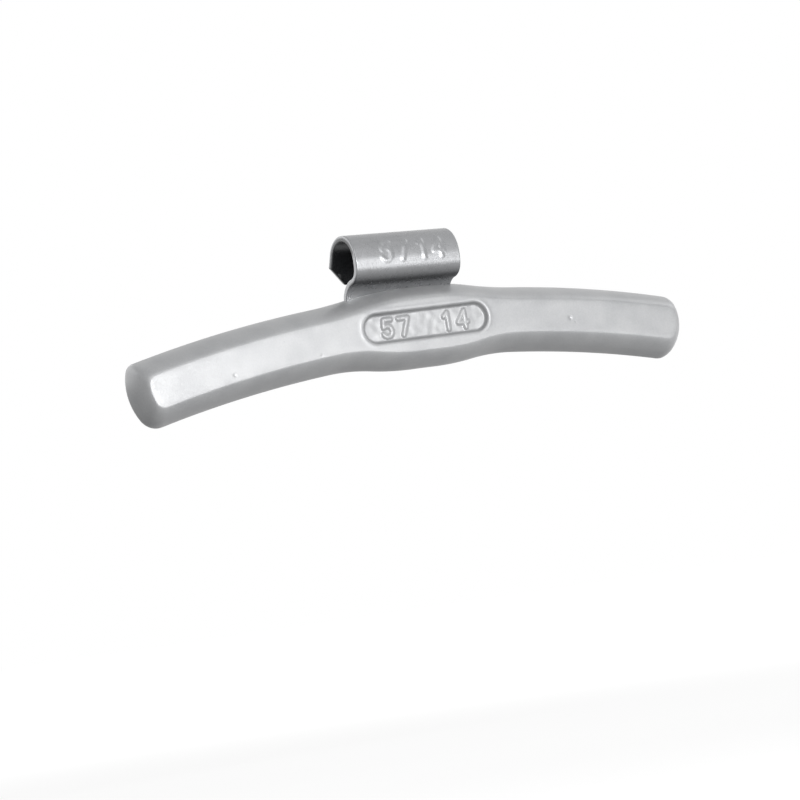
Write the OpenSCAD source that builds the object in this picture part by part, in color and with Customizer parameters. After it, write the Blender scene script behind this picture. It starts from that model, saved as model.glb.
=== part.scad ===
// Wheel balance weight: a curved steel bar with a folded spring steel clip let into its back.
// Millimetres. X runs along the clip, +Y points at the wheel rim, +Z points away from the hub.
// The origin is the middle of the rim jaw, on the axis of the clip's curl.

/* [Bar] */
// Radius of the bar's centre line, which follows the rim
bar_r = 250; // [180:1:400]
// Length of the bar along its centre line, from the swell's middle to the end on the clip's side
near_len = 59.4; // [50:0.1:80]
// Length of the bar along its centre line, from the swell's middle to the other end
far_len = 58.8; // [50:0.1:80]
// Width of the bar across its back face
bar_w = 12.25; // [11:0.05:16]
// Thickness of the bar from back face to front face
bar_t = 5.6; // [4.5:0.1:7]
// Slope of the bar's long sides, as the inset of the front face from the back outline
side_in = 2.6; // [1.5:0.1:3]
// Slope of the end on the clip's side, in the same way
near_end_in = 1.8; // [1:0.1:3]
// Slope of the other end
far_end_in = 2.6; // [1:0.1:3]
// Rounding where the slopes meet the front face
front_round = 1.1; // [0.6:0.1:1.6]
// Rounding where the slopes meet the back face
back_round = 0.4; // [0.2:0.05:0.6]
// Radius of the bowed end on the clip's side, on the back outline
near_end_r = 10.8; // [8:0.1:20]
// Radius of the bowed end on the other side, on the back outline
far_end_r = 8.2; // [8:0.1:20]
// Radius of the back outline's outer corners
outer_corner_r = 2; // [1:0.1:3]
// Radius of the back outline's inner corners
inner_corner_r = 3.4; // [1:0.1:4]
// Corner radius of the front face's outline
face_corner_r = 1.9; // [1:0.1:2.5]

/* [Swell] */
// How far the bar swells on its outer edge, under the clip
swell_up = 1.5; // [0:0.1:3]
// How far the bar swells on its inner edge
swell_down = 1.6; // [0:0.1:3]
// Added swell of the front face's inner edge
swell_face = 0.3; // [0:0.05:0.6]
// How far the swell's middle lies from the recess toward the far end
swell_off = 0.9; // [0:0.1:2]
// Half length of the swell's level middle
swell_flat = 2.4; // [1:0.1:8]
// Length of each run on the outer edge, from the level middle to the plain bar
run_up = 19; // [10:0.1:25]
// Length of each run on the inner edge, from the level middle to the plain bar
run_down = 17.6; // [10:0.1:25]

/* [Number recess] */
// Length of the recess in the front face
recess_len = 26.8; // [20:0.1:34]
// Width of the recess
recess_w = 5.8; // [4:0.1:6.6]
// Depth of the recess
recess_t = 0.7; // [0.3:0.05:1.2]
// Inset of the recess floor all round, from the slope of its wall
recess_in = 0.35; // [0.1:0.05:0.6]

/* [Clip] */
// Thickness of the strip
strip_t = 1.1; // [0.8:0.05:1.5]
// Width of the strip, which is the length of the jaw
strip_w = 22.1; // [20:0.1:28]
// How far the clip sits to one side of the bar's middle
clip_off = 2.2; // [0:0.05:4]
// Tilt of the clip on the bar, its near end up, in degrees
clip_tilt = 1.5; // [0:0.1:2]
// Inner radius of the curl
jaw_r = 3.8; // [3:0.1:5]
// Height of the curl's axis over the bar's centre line
jaw_up = 12.75; // [12:0.05:15]
// Distance of the curl's axis in front of the bar's back face
jaw_fore = 1.7; // [1:0.05:2.5]
// Straight drop of the curl's front wall below its axis
front_drop = 1.6; // [1:0.1:2.5]
// Inner radius of the fold below the front wall
fold_r = 1.85; // [1.4:0.1:2.6]
// Radius on the front of the neck, where the strip turns down into the bar
neck_r = 3.2; // [2.6:0.1:4]
// Tilt of the free lip away from the bar, in degrees
lip_tilt = 25; // [5:1:40]
// Length of the free lip past the end of the curl
lip_len = 5.6; // [3:0.1:7]
// Corner cut of the free lip, along each of its edges
lip_cut = 3.2; // [1:0.1:5]

/* [Fastening] */
// How far the clip's tail reaches below the bar's centre line
tail_down = 3.1; // [1:0.1:4]
// Corner radius of the tail
tail_corner_r = 1.6; // [0.5:0.1:2.5]
// Distance between the middles of the two staked studs
stud_pitch = 12.4; // [8:0.1:17]
// Height of the studs over the bar's centre line
stud_up = 1.2; // [0:0.1:2]
// Radius of a stud's shank
stud_r = 1.5; // [1:0.1:2]
// Radius of a stud's spread head at the back face
head_r = 2.3; // [2.1:0.1:2.8]
// Thickness of the spread head
head_t = 0.7; // [0.4:0.05:0.75]
// Clearance round the tail, between it and its seat
seat_gap = 0.05; // [0.02:0.01:0.1]

/* [Hidden] */
// Smoothness of round faces
$fn = 96;
// How far a cutting solid reaches past the surface that it cuts
over = 1;
// Place of the bar's frame, seen from the jaw's axis
bar_x = clip_off;
bar_y = jaw_fore;
bar_z = -jaw_up;
// Lean of the bar's sides from straight through, in degrees: they leave the back rounding as a tangent
side_reach = norm([side_in - back_round, bar_t - back_round]);
side_a = atan2(side_in - back_round, bar_t - back_round) + asin(back_round / side_reach);
// Depth and inset at which the front rounding leaves the sloping side
round_leg = front_round * tan((90 - side_a) / 2);
round_y = bar_t - round_leg * cos(side_a);
round_in = side_in - round_leg * sin(side_a);
// Steps of the loft along an arm, over the swell, round a corner and round each edge
arm_steps = 9;
swell_steps = 26;
corner_steps = 4;
bow_steps = 6;
round_steps = 4;
break_steps = 4;
// Points of a ring along one long side
side_points = 2 * arm_steps + swell_steps + 1;
// Neck of the clip, where two bends of opposite turn meet
fold_y = fold_r - jaw_r;
fold_z = -front_drop;
neck_y = bar_y - strip_t - neck_r;
bend_gap = fold_r + neck_r + strip_t;
neck_z = fold_z - sqrt(bend_gap ^ 2 - (fold_y - neck_y) ^ 2);
neck_a = atan2(fold_z - neck_z, fold_y - neck_y);
// How far the lip's bend runs on past the top of the curl, in degrees
curl_lap = 5;
tail_z = bar_z - tail_down;
stud_z = bar_z + stud_up;

// Share of the swell at a distance s along the bar: two arcs that meet halfway down its run
function swell(s, run) =
    let (x = (abs(s - swell_off) - swell_flat) / run)
    x <= 0 ? 1 : x >= 1 ? 0 : x < 0.5 ? 1 - 2 * x ^ 2 : 2 * (1 - x) ^ 2;

// Point of the bar at arc length s, radial offset w and depth d in from the back face
function bar_point(s, w, d) =
    let (a = s / bar_r * 180 / PI)
    [(bar_r + w) * sin(a), -d, (bar_r + w) * cos(a) - bar_r];

// Arc lengths of one long side, from the near corner to the far one
function side_stations(near, far) =
    let (
        reach = swell_flat + max(run_up, run_down),
        from_s = max(swell_off - reach, 1 - near),
        to_s = min(swell_off + reach, far - 1))
    concat(
        [for (i = [0 : arm_steps]) -near + (near + from_s) * i / arm_steps],
        [for (i = [1 : swell_steps - 1]) from_s + (to_s - from_s) * i / swell_steps],
        [for (i = [0 : arm_steps]) to_s + (far - to_s) * i / arm_steps]);

// Distance from the end's furthest point back to the centre of a corner of radius r
function corner_back(w, end_r, r) = end_r - sqrt((end_r - r) ^ 2 - (w - r) ^ 2);

// Lean of the bowed end where a corner of radius r meets it
function bow_lean(w, end_r, r) = asin((w - r) / (end_r - r));

// Bowed end from the long side at +w to the one at -w, furthest at s, with corners of radius p and q
function end_points(s, w, end_r, p, q) =
    let (
        lean_p = bow_lean(w, end_r, p),
        lean_q = bow_lean(w, end_r, q),
        p_s = s - corner_back(w, end_r, p),
        q_s = s - corner_back(w, end_r, q))
    concat(
        [for (i = [1 : corner_steps])
            let (a = 90 + (lean_p - 90) * i / corner_steps)
            [p_s + p * cos(a), w - p + p * sin(a)]],
        [for (i = [1 : bow_steps])
            let (a = lean_p - (lean_p + lean_q) * i / bow_steps)
            [s - end_r + end_r * cos(a), end_r * sin(a)]],
        [for (i = [1 : corner_steps - 1])
            let (a = -lean_q + (lean_q - 90) * i / corner_steps)
            [q_s + q * cos(a), q - w + q * sin(a)]]);

// Closed outline of the bar at a given inset and depth, as points in space
function bar_ring(inset, depth) =
    let (
        f = depth / bar_t,
        w = bar_w / 2 - inset,
        near_s = near_len - inset * near_end_in / side_in,
        far_s = far_len - inset * far_end_in / side_in,
        near_r = near_end_r - inset,
        far_r = far_end_r - inset,
        outer = outer_corner_r + (face_corner_r - outer_corner_r) * f,
        inner = inner_corner_r + (face_corner_r - inner_corner_r) * f,
        down = swell_down + swell_face * f,
        outer_side = side_stations(
            near_s - corner_back(w, near_r, outer), far_s - corner_back(w, far_r, outer)),
        inner_side = side_stations(
            near_s - corner_back(w, near_r, inner), far_s - corner_back(w, far_r, inner)),
        last = len(inner_side) - 1,
        outline = concat(
            [for (s = outer_side) [s, w + swell_up * swell(s, run_up)]],
            end_points(far_s, w, far_r, outer, inner),
            [for (i = [0 : last])
                let (s = inner_side[last - i])
                [s, -w - down * swell(s, run_down)]],
            [for (p = end_points(near_s, w, near_r, inner, outer)) -p]))
    [for (p = outline) bar_point(p[0], p[1], depth)];

// Inset and depth of each ring of the loft, from the back face to the front face
ring_levels = concat(
    [for (i = [0 : break_steps])
        let (a = (90 + side_a) * i / break_steps)
        [back_round * (1 - sin(a)), back_round * (1 - cos(a))]],
    [for (i = [0 : round_steps])
        let (a = side_a + (90 - side_a) * i / round_steps)
        [round_in + front_round * (cos(side_a) - cos(a)),
         round_y + front_round * (sin(a) - sin(side_a))]]);

// Triangles that close a ring of n points: a ladder between the long sides, and a fan over each end
function cap_faces(n) =
    let (turn = n / 2, foot = side_points + turn - 1)
    concat(
        [for (i = [0 : side_points - 2])
            each [[i, i + 1, foot - 1 - i], [i, foot - 1 - i, foot - i]]],
        [for (hub = [side_points - 1, foot], j = [1 : turn - side_points])
            [hub, hub + j, (hub + j + 1) % n]]);

// Solid bar, lofted through its rings
module bar_loft() {
    rings = [for (l = ring_levels) bar_ring(l[0], l[1])];
    n = len(rings[0]);
    m = len(rings);
    points = [for (r = rings) for (p = r) p];
    bands = [for (j = [0 : m - 2]) for (i = [0 : n - 1])
        let (k = (i + 1) % n)
        each [[j * n + i, j * n + k, (j + 1) * n + k],
              [j * n + i, (j + 1) * n + k, (j + 1) * n + i]]];
    cap = cap_faces(n);
    back = [for (t = cap) [t[2], t[1], t[0]]];
    front = [for (t = cap) [for (i = t) (m - 1) * n + i]];
    polyhedron(points, concat(back, bands, front));
}

// Recess for the numbers, with a sloping wall and round ends
module recess() {
    flat = (recess_len - recess_w) / 2;
    r_top = recess_w / 2;
    r_floor = r_top - recess_in;
    grow = recess_in / recess_t * over;
    rotate([90, 0, 0])
        translate([0, 0, bar_t - recess_t]) {
            for (x = [-flat, flat])
                translate([x, 0, 0])
                    cylinder(r1 = r_floor, r2 = r_top + grow, h = recess_t + over);
            rotate([90, 0, 90])
                translate([0, 0, -flat])
                    linear_extrude(2 * flat)
                        polygon([
                            [-r_floor, 0], [r_floor, 0],
                            [r_top + grow, recess_t + over], [-r_top - grow, recess_t + over]]);
        }
}

// Outline of the tail's lower end, grown on every side
module tail_outline(grow, top) {
    r = tail_corner_r + grow;
    half = strip_w / 2 + grow;
    foot = tail_z - grow;
    for (x = [r - half, half - r])
        translate([x, foot + r])
            circle(r);
    translate([r - half, foot])
        square([2 * (half - r), top - foot]);
    translate([-half, foot + r])
        square([2 * half, top - foot - r]);
}

// Room for the clip in the bar's back, which follows the neck's front out through the top
module seat_room() {
    intersection() {
        rotate([90, 0, 0])
            translate([0, 0, -bar_y - over])
                linear_extrude(bar_t + over)
                    tail_outline(seat_gap, 0);
        rotate([90, 0, 90])
            linear_extrude(strip_w + 2 * over, center = true)
                difference() {
                    translate([neck_y, tail_z - over])
                        square([bar_y + over - neck_y, -tail_z + over]);
                    translate([neck_y, neck_z])
                        circle(neck_r - seat_gap);
                    translate([neck_y, tail_z - 2 * over])
                        square([neck_r - seat_gap, neck_z - tail_z + 2 * over]);
                }
    }
}

// Stud with its spread head, standing on the seat's floor, grown for the hole it fills
module stud(grow) {
    shank = strip_t + seat_gap + (grow > 0 ? over : 0);
    rotate([90, 0, 0])
        cylinder(r = stud_r + grow, h = shank);
    rotate([90, 0, 0])
        cylinder(r1 = head_r + grow, r2 = stud_r + grow, h = head_t);
}

module weight_body() {
    color([0.70, 0.70, 0.71]) {
        difference() {
            translate([bar_x, bar_y, bar_z])
                rotate([0, -clip_tilt, 0])
                    difference() {
                        bar_loft();
                        recess();
                    }
            seat_room();
        }
        for (x = [-stud_pitch / 2, stud_pitch / 2])
            translate([x, bar_y, stud_z])
                stud(0);
    }
}

// Bend of the strip about (y, z), from one angle to another
module bend(y, z, r, from_a, to_a) {
    far = 3 * (r + strip_t);
    mid_a = (from_a + to_a) / 2;
    translate([y, z])
        intersection() {
            difference() {
                circle(r + strip_t);
                circle(r);
            }
            polygon([
                [0, 0], [far * cos(from_a), far * sin(from_a)],
                [far * cos(mid_a), far * sin(mid_a)], [far * cos(to_a), far * sin(to_a)]]);
        }
}

// Side view of the strip, from the foot of the tail round to the free lip
module strip_profile() {
    translate([bar_y - strip_t, tail_z])
        square([strip_t, neck_z - tail_z]);
    bend(neck_y, neck_z, neck_r, 0, neck_a);
    bend(fold_y, fold_z, fold_r, 180, 180 + neck_a);
    translate([-jaw_r - strip_t, -front_drop])
        square([strip_t, front_drop]);
    bend(0, 0, jaw_r, 90, 180);
    rotate(lip_tilt) {
        bend(0, 0, jaw_r, 0, 90 + curl_lap - lip_tilt);
        translate([jaw_r, -lip_len])
            square([strip_t, lip_len]);
    }
}

// Wedge that takes one corner off the free lip
module lip_corner() {
    rotate([lip_tilt, 0, 0])
        translate([-strip_w / 2, jaw_r - over, -lip_len])
            rotate([90, 0, 0])
                translate([0, 0, -strip_t - 2 * over])
                    linear_extrude(strip_t + 2 * over)
                        polygon([[-over, -over], [lip_cut + over, -over], [-over, lip_cut + over]]);
}

module spring_clip() {
    color([0.62, 0.62, 0.63])
        difference() {
            rotate([90, 0, 90])
                linear_extrude(strip_w, center = true)
                    strip_profile();
            lip_corner();
            mirror([1, 0, 0])
                lip_corner();
            difference() {
                translate([-strip_w, bar_y - strip_t - over, tail_z - over])
                    cube([2 * strip_w, strip_t + 2 * over, tail_corner_r + over]);
                rotate([90, 0, 0])
                    translate([0, 0, -bar_y - 2 * over])
                        linear_extrude(strip_t + 4 * over)
                            tail_outline(0, neck_z);
            }
            for (x = [-stud_pitch / 2, stud_pitch / 2])
                translate([x, bar_y, stud_z])
                    stud(seat_gap);
        }
}

weight_body();
spring_clip();
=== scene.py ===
"""Wheel balance weight: a coated steel bar with a folded spring clip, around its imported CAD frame."""

import logging
import math
from dataclasses import dataclass, field
from enum import Enum
from typing import Sequence

import bmesh
import bpy
import numpy as np
from mathutils import Matrix, Vector, noise
from mathutils.geometry import delaunay_2d_cdt


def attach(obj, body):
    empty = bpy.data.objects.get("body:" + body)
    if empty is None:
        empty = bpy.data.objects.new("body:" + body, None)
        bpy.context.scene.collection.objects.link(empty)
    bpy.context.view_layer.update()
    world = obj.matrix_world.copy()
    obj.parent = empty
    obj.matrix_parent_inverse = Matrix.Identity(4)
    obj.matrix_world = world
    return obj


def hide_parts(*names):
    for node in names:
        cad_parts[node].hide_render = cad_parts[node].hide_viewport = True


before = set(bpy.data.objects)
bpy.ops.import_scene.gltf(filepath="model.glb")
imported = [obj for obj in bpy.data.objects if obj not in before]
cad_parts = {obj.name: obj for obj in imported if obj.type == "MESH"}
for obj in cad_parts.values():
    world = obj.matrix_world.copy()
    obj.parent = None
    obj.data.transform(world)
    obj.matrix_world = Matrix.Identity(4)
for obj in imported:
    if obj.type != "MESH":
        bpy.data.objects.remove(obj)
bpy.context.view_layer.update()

LOG = logging.getLogger("wheel_weight")
MM = 0.001
PHOTO_SIDE_PX = 800.0
BODY = "root"
# Mesh attribute that carries painted shade, from 0 to 1.
PAINTED_SHADE = "painted_shade"
ROW_SHARE = 0.866
FAR_AWAY = 1e9
TINY = 1e-12
MERGE_WITHIN = 1e-7

Points = np.ndarray
Socket = bpy.types.NodeSocket
Tree = bpy.types.NodeTree


class Slot(Enum):
    """Material slots of the record."""

    BAR = "coated_bar"
    CLIP = "coated_clip"


# Small helpers


def linear(code: str) -> tuple[float, float, float, float]:
    """Turns an sRGB hex value into linear colour.

    Args:
        code: Six hex digits with a leading hash.

    Returns:
        Red, green and blue from 0 to 1, and an alpha of 1.
    """
    channels = (int(code[i : i + 2], 16) / 255 for i in (1, 3, 5))
    bent = [c / 12.92 if c <= 0.04045 else ((c + 0.055) / 1.055) ** 2.4 for c in channels]
    return (bent[0], bent[1], bent[2], 1.0)


def smooth(x: Points) -> Points:
    """Rises from 0 to 1 with level ends as x goes from 0 to 1."""
    t = np.clip(x, 0.0, 1.0)
    return t * t * t * (t * (6 * t - 15) + 10)


def stations(*stops: tuple[float, int]) -> Points:
    """Lays values between stops.

    Args:
        stops: Value and number of steps that lead up to it; the first one's steps aren't used.

    Returns:
        Rising values, with each stop among them once.
    """
    values = [stops[0][0]]
    for (start, _), (end, steps) in zip(stops, stops[1:]):
        values.extend(start + (end - start) * (i + 1) / steps for i in range(steps))
    return np.array(values)


def grid(low: Sequence[float], high: Sequence[float], pitch: float) -> Points:
    """Fills a box in the plane with evenly spaced points, each second row shifted by half a pitch.

    Args:
        low: Lower corner of the box.
        high: Upper corner of the box.
        pitch: Distance between neighbours.

    Returns:
        The points, row by row.
    """
    rows = np.arange(low[1], high[1] + pitch / 2, pitch * ROW_SHARE)
    columns = np.arange(low[0], high[0] + pitch / 2, pitch)
    return np.array([(x + (i % 2) * pitch / 2, y) for i, y in enumerate(rows) for x in columns])


def inside(points: Points, loop: Points) -> np.ndarray:
    """Says which points of the plane lie inside a closed loop.

    Args:
        points: Places in the plane.
        loop: Corners of the loop, in order.

    Returns:
        True for each point that lies inside.
    """
    x, y = points[:, 0], points[:, 1]
    hit = np.zeros(len(points), bool)
    for (ax, ay), (bx, by) in zip(loop, np.roll(loop, -1, axis=0)):
        if ay == by:
            continue
        crosses = (ay > y) != (by > y)
        hit ^= crosses & (x < ax + (y - ay) * (bx - ax) / (by - ay))
    return hit


def edge_distance(points: Points, loop: Points) -> Points:
    """Finds how far points of the plane are from a polyline.

    Args:
        points: Places in the plane.
        loop: Corners of the polyline, in order.

    Returns:
        The distance of each point.
    """
    best = np.full(len(points), FAR_AWAY)
    for a, b in zip(loop, loop[1:]):
        step = b - a
        share = np.clip(((points - a) @ step) / max(step @ step, TINY), 0, 1)
        best = np.minimum(best, np.linalg.norm(points - a - share[:, None] * step, axis=1))
    return best


def clear_of(points: Points, loop: Points, gap: float) -> Points:
    """Keeps the points of the plane that are further than a gap from a closed loop."""
    closed = np.concatenate([loop, loop[:1]])
    return points[edge_distance(points, closed) > gap]


def circle(x: float, y: float, r: float, n: int) -> Points:
    """Lays n points of the plane round a circle about x and y."""
    turns = np.arange(n) / n * 2 * math.pi
    return np.stack([x + r * np.cos(turns), y + r * np.sin(turns)], axis=1)


def triangulate(loops: Sequence[Points], inner: Points) -> tuple[Points, list[tuple[int, int, int]]]:
    """Fills the first loop with triangles, around the other loops as holes.

    Args:
        loops: Closed outlines in the plane; their points come first and keep their order.
        inner: Free points that the triangles pass through.

    Returns:
        All points, and the triangles between them.
    """
    count = sum(len(loop) for loop in loops)
    flat = np.concatenate([*loops, inner]) if len(inner) else np.concatenate(loops)
    edges, start = [], 0
    for loop in loops:
        edges += [(start + i, start + (i + 1) % len(loop)) for i in range(len(loop))]
        start += len(loop)
    places = [Vector(p) for p in flat]
    found, _, faces, origin, _, _ = delaunay_2d_cdt(places, edges, [], 0, MERGE_WITHIN)
    known = {new: old[0] for new, old in enumerate(origin) if old}
    extra: list[tuple[float, float]] = []
    for new, point in enumerate(found):
        if new not in known:
            known[new] = len(flat) + len(extra)
            extra.append((point.x, point.y))
    if extra:
        LOG.warning("%d points were added to an outline of %d", len(extra), count)
        flat = np.concatenate([flat, np.array(extra)])
    triangles = [tuple(known[i] for i in face) for face in faces if len(set(face)) == 3]
    middles = np.array([flat[list(t)].mean(axis=0) for t in triangles])
    keep = inside(middles, loops[0])
    for hole in loops[1:]:
        keep &= ~inside(middles, hole)
    return flat, [t for t, k in zip(triangles, keep) if k]


def add_node(
    tree: Tree,
    kind: str,
    settings: dict[str | int, object] | None = None,
    links: dict[str | int, Socket] | None = None,
) -> bpy.types.Node:
    """Adds a shader node.

    Args:
        tree: The node tree that it goes into.
        kind: Blender's name for the node's type.
        settings: Values by input socket, or by property name where no input has that name.
        links: Sockets that feed this node's inputs.

    Returns:
        The new node.
    """
    node = tree.nodes.new(kind)
    for key, value in (settings or {}).items():
        if isinstance(key, int) or key in node.inputs:
            node.inputs[key].default_value = value
        else:
            setattr(node, key, value)
    for key, socket in (links or {}).items():
        tree.links.new(socket, node.inputs[key])
    return node


def empty_tree(owner: bpy.types.Material | bpy.types.World) -> Tree:
    """Gives a material or a world an empty node tree.

    Args:
        owner: What the nodes belong to.

    Returns:
        Its node tree.
    """
    owner.use_nodes = True
    owner.node_tree.nodes.clear()
    return owner.node_tree


@dataclass
class Draft:
    """Mesh in the making, in millimetres."""

    points: list[Points] = field(default_factory=list)
    faces: list[tuple[int, ...]] = field(default_factory=list)
    painted_shade: list[Points] = field(default_factory=list)
    count: int = 0

    def add(self, points: Points, painted_shade: Points | float = 0.0) -> int:
        """Adds points.

        Args:
            points: Places in millimetres.
            painted_shade: How much painted shade darkens them, from 0 to 1.

        Returns:
            The number of the first one.
        """
        start = self.count
        self.points.append(np.asarray(points, float))
        self.painted_shade.append(np.broadcast_to(painted_shade, len(points)))
        self.count += len(points)
        return start

    def band(self, first: int, second: int, n: int) -> None:
        """Joins two closed rings with a band of quads.

        Args:
            first: Number of the first ring's first point.
            second: Number of the second ring's first point.
            n: How many points each ring has.
        """
        for i in range(n):
            k = (i + 1) % n
            self.faces.append((first + i, first + k, second + k, second + i))

    def mesh(self, name: str) -> bpy.types.Mesh:
        """Makes the mesh in metres, with its faces turned outward.

        Args:
            name: The mesh's name.

        Returns:
            The mesh, without points that no face uses.
        """
        made = bpy.data.meshes.new(name)
        made.from_pydata((np.concatenate(self.points) * MM).tolist(), [], self.faces)
        # Painted shade, point by point, for the coat to mix toward its dark tone.
        values = made.attributes.new(PAINTED_SHADE, "FLOAT", "POINT").data
        values.foreach_set("value", np.concatenate(self.painted_shade))
        work = bmesh.new()
        work.from_mesh(made)
        loose = [v for v in work.verts if not v.link_faces]
        bmesh.ops.delete(work, geom=loose, context="VERTS")
        bmesh.ops.recalc_face_normals(work, faces=work.faces)
        work.to_mesh(made)
        work.free()
        return made


def put(name: str, data: bpy.types.ID) -> bpy.types.Object:
    """Puts a mesh, a lamp or a camera into the scene as an object.

    Args:
        name: The object's name.
        data: What the object holds.

    Returns:
        The new object.
    """
    made = bpy.data.objects.new(name, data)
    bpy.context.scene.collection.objects.link(made)
    return made


# Numbers raised from a surface


@dataclass(frozen=True)
class Stroke:
    """One stroke of a digit, as straight runs and arcs through points in a cell 1 high."""

    points: tuple[tuple[float, float], ...]


def arc(
    x: float, y: float, rx: float, ry: float, start: float, end: float
) -> tuple[tuple[float, float], ...]:
    """Lays points along an elliptical arc.

    Args:
        x: Centre across.
        y: Centre upward.
        rx: Half the width.
        ry: Half the height.
        start: First angle in degrees.
        end: Last angle in degrees.

    Returns:
        The points, about 12 degrees apart.
    """
    steps = max(4, int(abs(end - start) / 12))
    turns = [math.radians(start + (end - start) * i / steps) for i in range(steps + 1)]
    return tuple((x + rx * math.cos(a), y + ry * math.sin(a)) for a in turns)


DIGIT_WIDTH = 0.64
DIGITS: dict[str, tuple[Stroke, ...]] = {
    "1": (Stroke(((0.12, 0.78), (0.36, 1.0), (0.36, 0.0))),),
    "4": (Stroke(((0.48, 0.0), (0.48, 1.0), (0.0, 0.32), (DIGIT_WIDTH, 0.32))),),
    "5": (Stroke(((0.6, 1.0), (0.12, 1.0), (0.06, 0.56)) + arc(0.29, 0.32, 0.31, 0.32, 128, -150)),),
    "7": (Stroke(((0.0, 1.0), (DIGIT_WIDTH, 1.0), (0.24, 0.0))),),
}


@dataclass(frozen=True)
class RaisedNumber:
    """Plain number standing proud of a surface, with soft flanks; sizes in millimetres."""

    digits: str
    middle_x: float
    middle_y: float
    height: float
    pitch: float
    half_stroke: float
    flank: float
    proud: float

    def relief(self, points: Points) -> Points:
        """Height of the number above the surface at points of its plane.

        Args:
            points: Places in the plane, in millimetres.

        Returns:
            Height at each place, in millimetres.
        """
        nearest = np.full(len(points), FAR_AWAY)
        cell = DIGIT_WIDTH * self.height
        for i, digit in enumerate(self.digits):
            x = self.middle_x + (i - (len(self.digits) - 1) / 2) * self.pitch - cell / 2
            for stroke in DIGITS[digit]:
                line = np.array(stroke.points) * self.height
                line[:, 0] += x
                line[:, 1] += self.middle_y - self.height / 2
                nearest = np.minimum(nearest, edge_distance(points, line))
        return self.proud * smooth((self.half_stroke + self.flank - nearest) / (2 * self.flank))


# Finishes


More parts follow.
